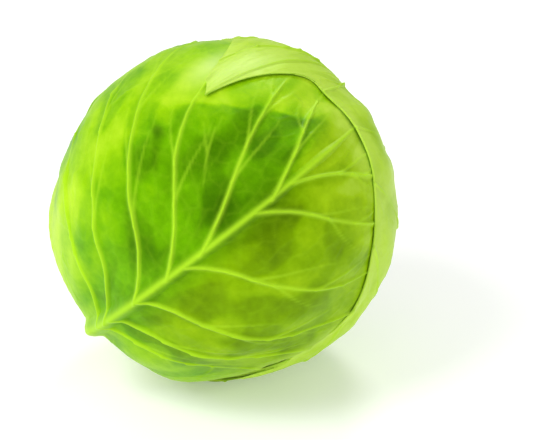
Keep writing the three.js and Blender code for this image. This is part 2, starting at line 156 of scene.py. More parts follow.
# each vein: where it leaves the midrib, from 0 to 1, the margin's angle where it ends, and how far it bows
EVEN_VEINS = [
    (0.04, 66, 0.2), (0.11, 88, 0.17), (0.22, 108, 0.13),
    (0.36, 127, 0.1), (0.53, 146, 0.07), (0.72, 163, 0.04),
]
FRONT_LEFT_VEINS = [
    (0.09, 87, 0.05), (0.14, 110, 0.03), (0.27, 126, 0.08),
    (0.37, 148, 0.15), (0.46, 159.5, 0.06), (0.64, 168, 0.06),
]
FRONT_RIGHT_VEINS = [
    (0.1, 60, 0.02), (0.17, 78, 0.08), (0.28, 96, 0.12),
    (0.42, 115, 0.1), (0.6, 133, 0.06), (0.7, 149, 0),
]
INNER_VEINS = [(0.05, 68, 0.18), (0.16, 96, 0.14), (0.34, 124, 0.1), (0.6, 150, 0.06)]
FRONT_TWIGS = [  # fine veins that stand apart on the front leaf, in millimetres of flat leaf
    [(-29, 24), (-24, 18), (-18, 11)],
    [(-29, 24), (-35, 28), (-42, 33)],
    [(-29, 24), (-34, 32), (-37, 42)],
    [(-91, 2), (-90, 18), (-87, 34), (-83, 48), (-84, 60), (-95, 74)],
]

LEAVES = [
    dict(name="leaf_over_crown", azimuth=116, middle=105, base=-144, tip=160, broadest=20, lean=(0, 16),
         left=dict(width=132, base=1.2, lobe=6, veins=EVEN_VEINS),
         right=dict(width=120, base=1.1, lobe=24, veins=EVEN_VEINS), tip_lobe=0.42, waves=7, phase=0.4),
    dict(name="leaf_front", azimuth=-31, middle=85, base=-113, tip=124, broadest=10, lean=(-5, 19),
         left=dict(width=160, base=0.9, lobe=20, veins=FRONT_LEFT_VEINS),
         right=dict(width=96, base=0.5, foot=24, lobe=20, veins=FRONT_RIGHT_VEINS),
         tip_lobe=0, waves=8, phase=2.1, twigs=FRONT_TWIGS,
         stand=dict(lift=4, reach=42, corner=(45, -98, 26), corner_lift=2.5)),
    dict(name="leaf_left", azimuth=-141, middle=88, base=-117, tip=118, broadest=8, lean=(0, 6),
         left=dict(width=118, base=1.2, lobe=20, veins=EVEN_VEINS),
         right=dict(width=112, base=1.4, lobe=20, veins=EVEN_VEINS), tip_lobe=0, waves=6, phase=1.2),
    dict(name="leaf_under", azimuth=49, middle=86, base=-114, tip=116, broadest=6, lean=(0, -6),
         left=dict(width=112, base=1.0, lobe=20, veins=EVEN_VEINS),
         right=dict(width=114, base=1.2, lobe=20, veins=EVEN_VEINS), tip_lobe=0, waves=7, phase=3.3),
    dict(name="leaf_inner_front", azimuth=-66, middle=92, base=-117, tip=112, broadest=6, lean=(0, 4),
         left=dict(width=104, base=1.2, lobe=20, veins=INNER_VEINS),
         right=dict(width=104, base=1.2, lobe=20, veins=INNER_VEINS), tip_lobe=0, waves=5, phase=0.9),
    dict(name="leaf_inner_back", azimuth=159, middle=92, base=-117, tip=112, broadest=6, lean=(0, -4),
         left=dict(width=104, base=1.2, lobe=20, veins=INNER_VEINS),
         right=dict(width=104, base=1.2, lobe=20, veins=INNER_VEINS), tip_lobe=0, waves=5, phase=4.0),
]
MARGIN_SCALLOP = 0.02
VEIN_POINTS = 17
OUTLINE_POINTS = 8  # between one vein and the next
print(len(LEAVES), "wrapper leaves, from the outermost inwards")

# %% [markdown]
# The flat leaf needs three lines: its midrib, its margin and any line of the blade between them. The
# margin is given by an angle that runs from 0 at the stalk to 180 at the tip, so that it is round without
# a list of points. A line of the blade starts on the midrib, runs down along it a little way as real
# side veins do, then swings out to the margin.

# %% Midrib, margin and blade


def side_of(leaf, side):
    return leaf["left"] if side < 0 else leaf["right"]


def tip_of(leaf):
    return leaf["broadest"] + (leaf["tip"] - leaf["broadest"]) * (1 + leaf["tip_lobe"])


def midrib_points(leaf, t):
    return np.stack([lerp(*leaf["lean"], t), lerp(leaf["base"], tip_of(leaf), t)], axis=-1)


def margin_points(leaf, side, degrees):
    half = side_of(leaf, side)
    angle = np.radians(degrees)
    low = degrees < 90
    sine = np.sin(angle)
    foot = half.get("foot", PETIOLE_HALF_WIDTH)
    spread = np.where(low, lerp(foot, half["width"], sine ** half["base"]), half["width"] * sine)
    reach = np.where(low, leaf["broadest"] - leaf["base"], leaf["tip"] - leaf["broadest"])
    scallop = 1 + MARGIN_SCALLOP * np.sin(leaf["waves"] * angle + leaf["phase"] * side) * sine ** 2
    stretch = scallop + leaf["tip_lobe"] * np.exp(-(((180 - degrees) / half["lobe"]) ** 2))
    middle_line = lerp(*leaf["lean"], smooth(degrees, 0, 180))
    x = side * spread * stretch + middle_line
    return np.stack([x, leaf["broadest"] - np.cos(angle) * reach * stretch], axis=-1)


def blade_points(leaf, side, row, t, shared_start=0.0):
    veins = np.array([(0, 0, 0)] + list(side_of(leaf, side)["veins"]) + [(1, BLUNT_TIP, 0)])
    other = np.array([(0, 0, 0)] + list(side_of(leaf, -side)["veins"]) + [(1, BLUNT_TIP, 0)])
    whole = np.arange(len(veins))
    start, angle, bow = (np.interp(row, whole, veins[:, k]) for k in range(3))
    start = lerp(start, (start + np.interp(row, whole, other[:, 0])) / 2, shared_start)
    begin = midrib_points(leaf, start)
    end = margin_points(leaf, side, angle)
    step = end - begin
    swing = bow * np.sin(np.pi * t)
    length = np.hypot(step[..., 0], step[..., 1])
    rundown = VEIN_RUNDOWN * np.minimum(1, np.minimum(6 * start, 6 * (1 - start)))
    down = rundown * np.maximum(0, 1 - t * length / VEIN_RUNDOWN_REACH) ** 2
    x = begin[..., 0] + step[..., 0] * t + side * step[..., 1] * swing
    y = begin[..., 1] + step[..., 1] * t - side * step[..., 0] * swing - down
    return np.stack([x, y], axis=-1)


def lay_out(leaf):
    azimuth, middle = math.radians(leaf["azimuth"]), math.radians(leaf["middle"])
    outward = frontward * math.cos(azimuth) + floorward * math.sin(azimuth)
    made = dict(leaf)
    made["facing"] = outward * math.sin(middle) - crownward * math.cos(middle)
    made["along"] = outward * math.cos(middle) + crownward * math.sin(middle)
    made["across"] = np.cross(crownward, outward)
    made["midrib"] = midrib_points(made, np.linspace(0, 1, 3))
    steps = np.linspace(0, 1, VEIN_POINTS)
    count = len(made["left"]["veins"])
    vein_rows = [np.full(VEIN_POINTS, i + 1.0) for i in range(count)]
    made["veins"] = [blade_points(made, side, row, steps) for side in (-1, 1) for row in vein_rows]
    rows = np.linspace(0, 1, OUTLINE_POINTS * (count + 1) + 1) * (count + 1)
    edge = [blade_points(made, side, rows, np.ones(len(rows))) for side in (1, -1)]
    made["outline"] = np.concatenate([edge[0], midrib_points(made, np.ones(1)), edge[1][::-1]])
    return made


leaves = [lay_out(leaf) for leaf in LEAVES]
for leaf in leaves:
    print(leaf["name"], "is", round(float(np.ptp(leaf["outline"][:, 0]))), "mm wide and",
          round(float(np.ptp(leaf["outline"][:, 1]))), "mm long")

# %% [markdown]
# ## From flat to round
# A flat leaf is laid on the ball as a map is laid on a globe: its middle touches, and a point so many
# millimetres away goes as far round the ball in the same direction. The way back is needed too, because
# a leaf that lies over another has to know what is beneath it.

# %% Laying a leaf on the ball


def directions_of(leaf, points):
    away = np.hypot(points[:, 0], points[:, 1])
    angle = np.radians(away / ARC)
    share = np.where(away < 1e-6, math.radians(1 / ARC), np.sin(angle) / np.maximum(away, 1e-6))
    return (np.cos(angle)[:, None] * leaf["facing"] + (points[:, 0] * share)[:, None] * leaf["across"]
            + (points[:, 1] * share)[:, None] * leaf["along"])


def flat_points(leaf, directions):
    x, y = directions @ leaf["across"], directions @ leaf["along"]
    angle = np.degrees(np.arccos(np.clip(directions @ leaf["facing"], -1, 1)))
    share = angle * ARC / np.maximum(np.hypot(x, y), 1e-9)
    return np.stack([x * share, y * share], axis=-1)


def nearest(points, line):
    best = np.full(len(points), np.inf)
    where = np.zeros(len(points))
    for i in range(len(line) - 1):
        step = line[i + 1] - line[i]
        f = np.clip(((points - line[i]) @ step) / max(float(step @ step), 1e-9), 0, 1)
        away = points - line[i] - f[:, None] * step
        square = away[:, 0] ** 2 + away[:, 1] ** 2
        closer = square < best
        best = np.where(closer, square, best)
        where = np.where(closer, (i + f) / (len(line) - 1), where)
    return np.sqrt(best), where


def outside(leaf, points):
    ring = np.concatenate([leaf["outline"], leaf["outline"][:1]])
    inside = np.zeros(len(points), dtype=bool)
    x, y = points[:, 0], points[:, 1]
    for (ax, ay), (bx, by) in zip(ring[:-1], ring[1:]):
        crosses = (ay > y) != (by > y)
        if by != ay:
            inside ^= crosses & (x < (bx - ax) * (y - ay) / (by - ay) + ax)
    return nearest(points, ring)[0] * np.where(inside, -1, 1)


# %% [markdown]
# ## Ribs, veins and the uneven blade
# On the outside of a head one sees the underside of each leaf, where the ribs stand out. The midrib is
# thick and rounded at the stalk and fades to the tip. A side vein is a narrow crest on a broad swell, and
# forks on its way to the margin. Between the veins the blade isn't flat: it bulges in soft pillows and
# carries a faint net of fine veins. The net is made from scattered points, because a line halfway between
# two neighbours wanders and meets others at corners just as a fine vein does.

# %% Relief of one leaf
MIDRIB = dict(half_width=(9.5, 2.4), height=(5.2, 0.8))
VEIN = dict(half_width=(3.2, 2.3), height=(1.9, 0.8))
CREST_SHARE = 0.5
CREST_WIDTH = 0.42
BRANCH_HALF_WIDTH = (1.5, 0.9)
BRANCH_HEIGHT = (0.55, 0.15)
FORKS = ((0.22, 1), (0.34, -1), (0.5, 1), (0.66, -1))  # how far along a vein, and to which side
PALE_MIDRIB = 0.33  # the pale line's half width, as a share of the rib's
PALE_VEIN = 0.4
PILLOW = 0.8
PILLOW_REACH = 9
SWELL = 0.35
SWELL_LENGTH = 34
NET_CELL = 9.5
NET_HEIGHT = 0.16
NET_HALF_WIDTH = 1.2
NET_START = (1, 4)  # how far from a vein the net fades in


def branches_of(leaf, seed):
    rng = np.random.default_rng(seed)
    lines = []
    steps = np.linspace(0, 1, 9)
    for side in (-1, 1):
        for vein in range(1, len(side_of(leaf, side)["veins"]) + 1):
            for start, turn in FORKS:
                begin = start + rng.uniform(-0.05, 0.05)
                end = min(begin + rng.uniform(0.26, 0.4), 0.98)
                away = turn * rng.uniform(0.3, 0.46)
                row = np.clip(vein + away * np.sin(steps * np.pi / 2) ** 1.3, 0.4, None)
                lines.append(blade_points(leaf, side, row, lerp(begin, end, steps)))
    return lines + [np.array(twig, dtype=float) for twig in leaf.get("twigs", [])]


def rib_relief(leaf, points, spread=1.0):
    away, t = nearest(points, leaf["midrib"])
    height = lerp(*MIDRIB["height"], t ** 0.7) * ridge(away, lerp(*MIDRIB["half_width"], t ** 0.6) * spread)
    for vein in leaf["veins"]:
        away, t = nearest(points, vein)
        width = lerp(*VEIN["half_width"], t) * spread
        profile = (1 - CREST_SHARE) * ridge(away, width) + CREST_SHARE * ridge(away, CREST_WIDTH * width)
        height = np.hypot(height, lerp(*VEIN["height"], t) * profile)
    return height


def branch_relief(branches, points):
    height = np.zeros(len(points))
    for branch in branches:
        away, t = nearest(points, branch)
        height = np.maximum(height, lerp(*BRANCH_HEIGHT, t) * ridge(away, lerp(*BRANCH_HALF_WIDTH, t)))
    return height


def vein_marks(leaf, points):
    away, t = nearest(points, leaf["midrib"])
    pale = lerp(1, 0.8, t) * np.exp(-((away / (PALE_MIDRIB * lerp(*MIDRIB["half_width"], t ** 0.6))) ** 2))
    closest = away
    for vein in leaf["veins"]:
        away, t = nearest(points, vein)
        half_width = PALE_VEIN * lerp(*VEIN["half_width"], t)
        pale = np.maximum(pale, lerp(1, 0.7, t) * np.exp(-((away / half_width) ** 2)))
        closest = np.minimum(closest, away)
    return pale, closest


def net_cells(points, seed):
    rng = np.random.default_rng(seed)
    low, high = points.min(axis=0) - NET_CELL, points.max(axis=0) + NET_CELL
    xs, ys = np.meshgrid(np.arange(low[0], high[0], NET_CELL), np.arange(low[1], high[1], NET_CELL))
    seeds = np.stack([xs.ravel(), ys.ravel()], axis=-1)
    seeds += rng.uniform(-0.46, 0.46, seeds.shape) * NET_CELL
    tree = kdtree.KDTree(len(seeds))
    for i, (x, y) in enumerate(seeds):
        tree.insert((x, y, 0), i)
    tree.balance()
    halfway = np.empty(len(points))
    cell = np.empty(len(points), dtype=int)
    for i, (x, y) in enumerate(points):
        (_, cell[i], first), (_, _, second) = tree.find_n((x, y, 0), 2)
        halfway[i] = (second - first) / 2
    return halfway, rng.uniform(-1, 1, len(seeds))[cell]


def clouds(points, seed, length, count=26):
    rng = np.random.default_rng(seed)
    total = np.zeros(len(points))
    for turn, size, phase in zip(rng.uniform(0, 2 * np.pi, count), rng.uniform(0.6, 1.9, count),
                                 rng.uniform(0, 2 * np.pi, count)):
        along = points[:, 0] * math.cos(turn) + points[:, 1] * math.sin(turn)
        total += np.cos(along * 2 * np.pi / (size * length) + phase)
    return total / math.sqrt(count / 2)


def blob(points, x, y, width, height):
    return np.exp(-((points[:, 0] - x) / width) ** 2 - ((points[:, 1] - y) / height) ** 2)


# %% [markdown]
# ## One leaf over another
# A wrapper leaf doesn't float: it rests on the heart and on every leaf that grew before it, and it shows
# their edges and ribs as soft steps. It stays lifted a little way past the edge of what it covers and then
# settles. Where another leaf lies over it, its own ribs are pressed flat. At its free margin it comes
# down close to what it lies on, apart from the waves of the edge, which stand up. The crown leaf's margin
# also rolls over into a low bead at one place. The leaves are made from the innermost outwards, so that
# each can feel for what is truly beneath it: for every point of the new leaf a ray comes in from outside
# towards the middle of the head and stops at the first face of each leaf that it meets. The highest of
# these is the ground. Steps in the ground are smoothed, because a leaf is too stiff to follow them.

# %% Draping
PRESSED = 0.12
RIDGE_SPREAD = 2.2
COVER_CLEARANCE = 10
COVER_FADE = 22
PRESS_START = -16
PRESS_END = -1
MARGIN_LIFT = 0.8
MARGIN_ZONE = 20
MARGIN_REST = 0.35  # air under the settled margin
MARGIN_REST_ZONE = 24
COVERED_ZONE = 25  # so near a leaf above, a margin is held up instead of settling
LEAST_AIR = 0.15
STEP_SOFTNESS = 14  # rounds of smoothing for the steps beneath a margin, on the finest grid
REST_SOFTNESS = 6
FINEST_ROWS = 253
CURL = dict(x=92, y=134, reach=9, lift=3.2)
RAY_START = 0.13
PETIOLE_REACH = 45  # how far the stalk's own shape goes up the leaf
BESIDE_MIDRIB = (11, 24)
THINNEST = 0.6


def stand_off(leaf, points):
    if "stand" not in leaf:
        return np.zeros(len(points))
    stand = leaf["stand"]
    x, y, size = stand["corner"]
    at_base = 1 - smooth(points[:, 1], leaf["base"], leaf["base"] + stand["reach"])
    return stand["lift"] * at_base + stand["corner_lift"] * blob(points, x, y, size, size)


def drape(index, points):
    leaf = leaves[index]
    directions = directions_of(leaf, points)
    inner = ball_radius(directions) + LEAF_GAP
    for below in leaves[index + 1:]:
        there = flat_points(below, directions)
        cover = 1 - smooth(outside(below, there), COVER_CLEARANCE, COVER_CLEARANCE + COVER_FADE)
        relief = np.zeros(len(points))
        near = cover > 0
        relief[near] = rib_relief(below, there[near], RIDGE_SPREAD)
        inner += cover * (BLADE + LEAF_GAP + stand_off(below, there) + PRESSED * relief)
    uncovered = np.full(len(points), float(HEAD_RADIUS))
    for above in leaves[:index]:
        uncovered = np.minimum(uncovered, outside(above, flat_points(above, directions)))
    return directions, inner, uncovered


def ground_beneath(trees, directions):
    ground = ball_radius(directions)
    middle = Vector(centre * MM)
    for i, direction in enumerate(directions):
        ray = Vector(direction)
        for tree in trees:
            hit, _, _, gone = tree.ray_cast(middle + ray * RAY_START, -ray, RAY_START)
            if hit is not None:
                ground[i] = max(ground[i], (RAY_START - gone) / MM)
    return ground


def soften(values, shape, rounds):
    grid = values.reshape(shape)
    for _ in range(max(1, round(rounds * (shape[0] / FINEST_ROWS) ** 2))):
        for axis in (0, 1):
            padded = np.pad(grid, [(1, 1) if k == axis else (0, 0) for k in (0, 1)], mode="edge")
            ahead = padded[2:] if axis == 0 else padded[:, 2:]
            behind = padded[:-2] if axis == 0 else padded[:, :-2]
            grid = 0.5 * grid + 0.25 * (ahead + behind)
    return grid.ravel()


def waves_of(leaf, points):
    turn = np.arctan2(points[:, 0], points[:, 1])
    wave = 0.5 + 0.35 * np.sin(leaf["waves"] * 1.7 * turn + leaf["phase"])
    return wave + 0.15 * np.sin(leaf["waves"] * 4.3 * turn + 2 * leaf["phase"])


def roll_of(leaf, points):
    if leaf["name"] != "leaf_over_crown":
        return np.zeros(len(points))
    return blob(points, CURL["x"], CURL["y"], CURL["reach"], CURL["reach"])


def leaf_surfaces(index, points, rows, ts, shape, trees):
    leaf = leaves[index]
    directions, inner, uncovered = drape(index, points)
    pressed = 1 - smooth(uncovered, PRESS_START, PRESS_END)
    ground = ground_beneath(trees, directions)
    depth = -outside(leaf, points)
    edge = 1 - smooth(depth, 0, MARGIN_ZONE)
    from_midrib = nearest(points, leaf["midrib"])[0]
    petiole = smooth(points[:, 1], leaf["base"], leaf["base"] + PETIOLE_REACH)
    free = petiole if "stand" in leaf else np.maximum(petiole, smooth(from_midrib, *BESIDE_MIDRIB))
    free = free * smooth(uncovered, 0, COVERED_ZONE)
    settled = soften(ground, shape, STEP_SOFTNESS) + MARGIN_REST
    inner = lerp(inner, settled, (1 - smooth(depth, 0, MARGIN_REST_ZONE)) * free)
    inner += MARGIN_LIFT * waves_of(leaf, points) * petiole * (1 - pressed) * edge ** 1.5
    for _ in range(3):
        inner = np.maximum(soften(inner, shape, REST_SOFTNESS), ground + LEAST_AIR)
    inner = soften(inner, shape, REST_SOFTNESS / 2)
    pale, closest = vein_marks(leaf, points)
    halfway, cell = net_cells(points, seed=index)
    net = ridge(halfway, NET_HALF_WIDTH) * smooth(closest, *NET_START)
    pillow = PILLOW * ((1 - np.exp(-((closest / PILLOW_REACH) ** 2))) * petiole - 1)
    swell = SWELL * (clouds(points, 40 + index, SWELL_LENGTH) - 1)
    branch = branch_relief(branches_of(leaf, 20 + index), points)
    relief = rib_relief(leaf, points) + (pillow + swell) * smooth(depth, 0, MARGIN_ZONE)
    relief += branch + NET_HEIGHT * net
    thickness = np.maximum(lerp(BLADE, BLADE_EDGE, edge) + relief * lerp(1, PRESSED, pressed), THINNEST)
    stand = stand_off(leaf, points)
    roll = roll_of(leaf, points)
    outer = inner + stand + thickness + CURL["lift"] * roll * np.sin(np.pi * edge ** 3) ** 2
    inner = lerp(inner, ground + LEAST_AIR, np.minimum(1, 2 * roll) * edge ** 2)
    inner = inner + stand * (1 - ridge(from_midrib, PETIOLE_SOLID))
    marks = dict(pale=pale, branch=branch / BRANCH_HEIGHT[0], net=net, edge=edge,
                 tone=tone_of(leaf, points, rows, ts, cell * smooth(halfway, 0, 2)),
                 warmth=warmth_of(leaf, points), painted_highlight=painted_highlight_of(leaf, points))
    return directions, inner, outer, marks


# %% [markdown]
# ## Light and dark of a leaf
# The green isn't even. The stalk end and the margin are light, and there are darker patches that are drawn
# out along the veins. On the front leaf light and shade are painted in: it is lighter on its left, where the
# key lamp falls, a painted reflection makes it lighter above a crisp border and leaves a deep green field
# below it, with a small dark streak in it, the midrib casts a painted shadow, and painted shade lies above
# the field where the crown leaf's curled edge is dark. This is worked out for each point of the mesh as one
# number from 0, the deepest green, to 1, the lightest. A second number says how far the green turns towards
# yellow, and a third how far it turns to the pale green of a painted highlight.
# Numbers are chosen over colours, because the same scales of green then serve all leaves.

# %% Tones
TONE = {"leaf_over_crown": 1.0, "leaf_front": 0.72, "leaf_left": 0.7, "leaf_under": 0.55}
INNER_TONE = 0.7
CELL_CONTRAST = 0.03
CLOUD_CONTRAST = 0.03
PATCH_CONTRAST = 0.08
PATCH_SHARPNESS = 2.5
PATCH_STRETCH = (17, 60)  # a whole vein's spacing and a whole half leaf, in millimetres of pattern
OTHER_HALF = 500  # moves the pattern far enough that the two halves of a leaf don't mirror each other
STALK_LIGHT = dict(reach=50, tone=0.25)
# painted reflection: above this border the front leaf is painted lighter, where the top light is mirrored,
# and below it lies a deep green field
DEEP_FIELD = dict(x=-53, y=38, slope=(0.656, -0.755), softness=(-1.5, 2.5))  # its border's place and heading
FIELD_WANDER = 1.5
# painted light: the front leaf is lighter on its left and low on its left, where the key and front lamps
# fall, and a little less so at the far-left rim
LEFT_SIDE = (38, 84)
FAR_LEFT = (70, 90)
LOW_LEFT = dict(x=(18, 40), far_x=(64, 82), y=(-48, -28))
RIGHT_SIDE = (12, 35)
FOOT = (-95, -40)
NEAR_TIP = dict(x=(-8, 8), y=(76, 94))
BESIDE_TIP = dict(x=(-4, 8), y=(38, 60), slant=0.2, share=0.8)
SHIFT = dict(upper=0.1, low_left=0.22, far_left=-0.13, near_tip=0.25,
             field=-0.33, right=0.1, foot=0.05, streak=-0.09)
STREAK = dict(line=((-54, 11), (-42, 0)), half_width=2)
FRONT_SPOTS = [  # x, y, width, height and the tone that is added
    # lightens the painted reflection's deep green field just below its border
    (-42, 36, 12, 12, 0.1),
    # painted shadow of the midrib on the blade beside it
    (20, 20, 13, 16, -0.14),
    (-55, 13, 4, 3, -0.3),
    # painted shade where the crown leaf's curled edge lies dark over the front leaf
    (-107, 90, 10, 8, -0.4),
    # these two deepen the painted reflection's dark field in the middle of the front leaf
    (-4, 16, 11, 20, -0.17),
    (-18, 44, 20, 22, -0.05),
]
CURL_SHADE = -0.4
CROWN_BACK = dict(x=(48, 72), y=(110, 150), tone=-0.26)
WARMTH = {"leaf_over_crown": 0.75, "leaf_front": 0.15}
OTHER_WARMTH = 0.3
RIGHT_WARMTH = dict(x=(0, 22), y=(-95, -45), slant=0.25, slant_start=40, share=0.75)
# painted highlights: a pale patch on the crown leaf's corner and a pale strip on the front leaf beside the
# fold, where the sheen lies
PAINTED_HIGHLIGHT = {"leaf_over_crown": (28, 198, 24, 24, 0.5), "leaf_front": (-68, 62, 8, 16, 0.6)}


def front_tone(points):
    x, y = points[:, 0], points[:, 1]
    wander = FIELD_WANDER * clouds(points, 5, 18)
    # painted reflection: how far past the border a point lies; above the border the leaf is lighter, below it
    # deep green
    into = (points - [DEEP_FIELD["x"], DEEP_FIELD["y"]]) @ DEEP_FIELD["slope"] + wander
    left_side = smooth(-x, *LEFT_SIDE)
    slanted = x + BESIDE_TIP["slant"] * (y - BESIDE_TIP["y"][1])
    beside_tip = smooth(slanted, *BESIDE_TIP["x"]) * smooth(y, *BESIDE_TIP["y"])
    field = smooth(into, *DEEP_FIELD["softness"]) * (1 - left_side) * (1 - BESIDE_TIP["share"] * beside_tip)
    low_left = smooth(-x, *LOW_LEFT["x"]) * (1 - smooth(-x, *LOW_LEFT["far_x"]))
    # painted light: lighter on the left where the key lamp falls and above the border where the reflection
    # lies, lighter low on the left, less at the far-left rim
    tone = SHIFT["upper"] * np.maximum(left_side, smooth(-into, 0, 12))
    tone += SHIFT["low_left"] * low_left * (1 - smooth(y, *LOW_LEFT["y"]))
    tone += SHIFT["far_left"] * smooth(-x, *FAR_LEFT)
    tone += SHIFT["near_tip"] * smooth(y, *NEAR_TIP["y"]) * smooth(x, *NEAR_TIP["x"])
    # painted reflection: the deep green field below the border
    tone += SHIFT["field"] * field
    tone += SHIFT["right"] * smooth(x, *RIGHT_SIDE) + SHIFT["foot"] * (1 - smooth(y, *FOOT))
    from_streak = nearest(points, np.array(STREAK["line"]))[0]
    tone += SHIFT["streak"] * np.exp(-((from_streak / STREAK["half_width"]) ** 2))
    for *spot, shift in FRONT_SPOTS:
        tone += shift * blob(points, *spot)
    return tone


def crown_tone(leaf, points):
    back = 1 - smooth(np.abs(points[:, 0]), *CROWN_BACK["x"])
    back *= 1 - smooth(points[:, 1], *CROWN_BACK["y"])
    return CURL_SHADE * roll_of(leaf, points) + CROWN_BACK["tone"] * back


def tone_of(leaf, points, rows, ts, cell):
    tone = np.full(len(points), TONE.get(leaf["name"], INNER_TONE))
    across = rows * PATCH_STRETCH[0] + OTHER_HALF * np.sign(ts)
    drawn_out = np.stack([across, np.abs(ts) * PATCH_STRETCH[1]], axis=-1)
    off_midrib = smooth(nearest(points, leaf["midrib"])[0], 2, 12)
    patches = np.tanh(PATCH_SHARPNESS * clouds(drawn_out, 60 + leaf["waves"], 16))
    tone += PATCH_CONTRAST * patches * off_midrib
    tone += CELL_CONTRAST * cell + CLOUD_CONTRAST * clouds(points, leaf["waves"], 22)
    stalk = 1 - smooth(points[:, 1], leaf["base"], leaf["base"] + STALK_LIGHT["reach"])
    tone += STALK_LIGHT["tone"] * stalk
    if leaf["name"] == "leaf_front":
        tone += front_tone(points)
    if leaf["name"] == "leaf_over_crown":
        tone += crown_tone(leaf, points)
    return np.clip(tone, 0, 1)


def warmth_of(leaf, points):
    warmth = np.full(len(points), WARMTH.get(leaf["name"], OTHER_WARMTH))
    if leaf["name"] == "leaf_front":
        beyond = np.maximum(points[:, 1] - RIGHT_WARMTH["slant_start"], 0)
        slanted = points[:, 0] + RIGHT_WARMTH["slant"] * beyond
        right_half = smooth(slanted, *RIGHT_WARMTH["x"]) * smooth(points[:, 1], *RIGHT_WARMTH["y"])
        warmth += RIGHT_WARMTH["share"] * right_half
    return warmth


# painted highlight: how far a point is turned pale where the sheen lies
def painted_highlight_of(leaf, points):
    if leaf["name"] not in PAINTED_HIGHLIGHT:
        return np.zeros(len(points))
    *spot, share = PAINTED_HIGHLIGHT[leaf["name"]]
    return share * blob(points, *spot)


print("relief, draping and tones are ready")

# %% [markdown]
# ## The mesh of a leaf
# Each blade is made from two of Blender's grids, a fine one for the outer face and a coarser one for the
# inner face. Every point of a grid is moved to its place on the head, the inner grid is turned over, and
# the two edges are bridged, so that the leaf is one closed thin body. A grid is chosen because its lines
# can follow the veins: rows run from the midrib out to the margin, closer together at each vein, and
# columns run along the leaf, closer together at the midrib.

# %% Leaf meshes
GRID = {  # columns and rows of the outer face
    "leaf_over_crown": (276, 252),
    "leaf_front": (276, 252),
    "leaf_left": (210, 190),
    "leaf_under": (210, 190),
}
HIDDEN_GRID = (120, 110)
COLUMN_POWER = 1.25
SHARED_START_REACH = 12
VEIN_CROWDING = 1.2
VEIN_CROWDING_REACH = 3.5
ROW_SAMPLES = 1500
UV_SPAN = 400  # millimetres of flat leaf across the whole map


def rows_at(leaf, share):
    last = len(leaf["left"]["veins"]) + 1
    row = np.linspace(0, last, ROW_SAMPLES)
    length = np.zeros(len(row) - 1)
    for side in (-1, 1):
        middle = blade_points(leaf, side, row, np.full(len(row), 0.5))
        length += np.hypot(*np.diff(middle, axis=0).T) / 2
    between = (row[1:] + row[:-1]) / 2
    away = np.abs(between - np.round(between)) * length * len(length) / last
    weight = length * (1 + VEIN_CROWDING * np.exp(-((away / VEIN_CROWDING_REACH) ** 2)))
    run = np.concatenate([[0], np.cumsum(weight)])
    return np.interp(share * run[-1], run, row)


def grid_to_flat(leaf, u, row):
    flat = np.empty((len(u), 2))
    for side in (-1, 1):
        here = u < 0 if side < 0 else u >= 0
        t = np.abs(u[here]) ** COLUMN_POWER
        to_margin = margin_at(leaf, side, row[here]) - midrib_points(leaf, np.full(t.shape, 0.5))
        shared = 1 - smooth(t * np.hypot(*to_margin.T), 0, SHARED_START_REACH)
        flat[here] = blade_points(leaf, side, row[here], t, shared)
    return flat


def margin_at(leaf, side, row):
    return blade_points(leaf, side, row, np.ones(len(row)))


def make_leaf(index, trees):
    leaf = leaves[index]
    columns, rows = GRID.get(leaf["name"], HIDDEN_GRID)
    bm = bmesh.new()
    sheets, shapes = [], []
    for share in (1, 2):
        made = bmesh.ops.create_grid(bm, x_segments=columns // share, y_segments=rows // share, size=1)
        sheets.append(made["verts"])
        shapes.append((rows // share + 1, columns // share + 1))
    flats, marks = [], []
    for which, verts in enumerate(sheets):
        u = np.array([vert.co.x for vert in verts])
        row = rows_at(leaf, np.array([vert.co.y for vert in verts]) * 0.5 + 0.5)
        flat = grid_to_flat(leaf, u, row)
        directions, inner, outer, mark = leaf_surfaces(index, flat, row, u, shapes[which], trees)
        places = centre + directions * (inner if which else outer)[:, None]
        places[:, 2] = np.maximum(places[:, 2], 0)
        for vert, place in zip(verts, places * MM):
            vert.co = place
        flats.append(flat)
        marks.append(mark)
    inner_verts = set(sheets[1])
    bmesh.ops.reverse_faces(bm, faces=[face for face in bm.faces if face.verts[0] in inner_verts])
    rim = [edge for edge in bm.edges if edge.is_boundary]
    bmesh.ops.bridge_loops(bm, edges=rim)
    for face in bm.faces:
        face.smooth = True
    bm.verts.index_update()
    trees.append(BVHTree.FromBMesh(bm))
    order = np.array([vert.index for verts in sheets for vert in verts])
    mesh = bpy.data.meshes.new(leaf["name"] + "_blade")
    bm.to_mesh(mesh)
    bm.free()
    for name in marks[0]:
        values = np.empty(len(order))
        values[order] = np.concatenate([mark[name] for mark in marks])
        mesh.attributes.new(name, "FLOAT", "POINT").data.foreach_set("value", values)
    lay_uv(mesh, order, np.concatenate(flats))
    piece = bpy.data.objects.new(leaf["name"] + "_blade", mesh)
    bpy.context.scene.collection.objects.link(piece)
    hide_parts(leaf["name"])
    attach(piece, "root")
    triangles = sum(len(polygon.vertices) - 2 for polygon in mesh.polygons)
    print(leaf["name"], "has", triangles, "triangles")
    return piece


def lay_uv(mesh, order, flat):
    placed = np.empty((len(order), 2))
    placed[order] = flat / UV_SPAN + 0.5
    corners = np.empty(len(mesh.loops), dtype=int)
    mesh.loops.foreach_get("vertex_index", corners)
    layer = mesh.uv_layers.new(name="flat_leaf")
    layer.data.foreach_set("uv", placed[corners].ravel())


leaf_trees = []
pieces = {leaves[index]["name"]: make_leaf(index, leaf_trees) for index in reversed(range(len(leaves)))}

# %% [markdown]
# ## Leaf material
# A cabbage leaf is green wax: a saturated yellow-green with a soft shine. The tone that each point carries
# is turned into a green by two ramps, a cool and a warm one, with noise on the flat leaf's own map for what
# is finer than the mesh.
# The pale lines follow the veins, and the very edge is lighter because it is thin. The shine is kept low,
# since a strong one would turn white under a soft lamp and wash the green out.

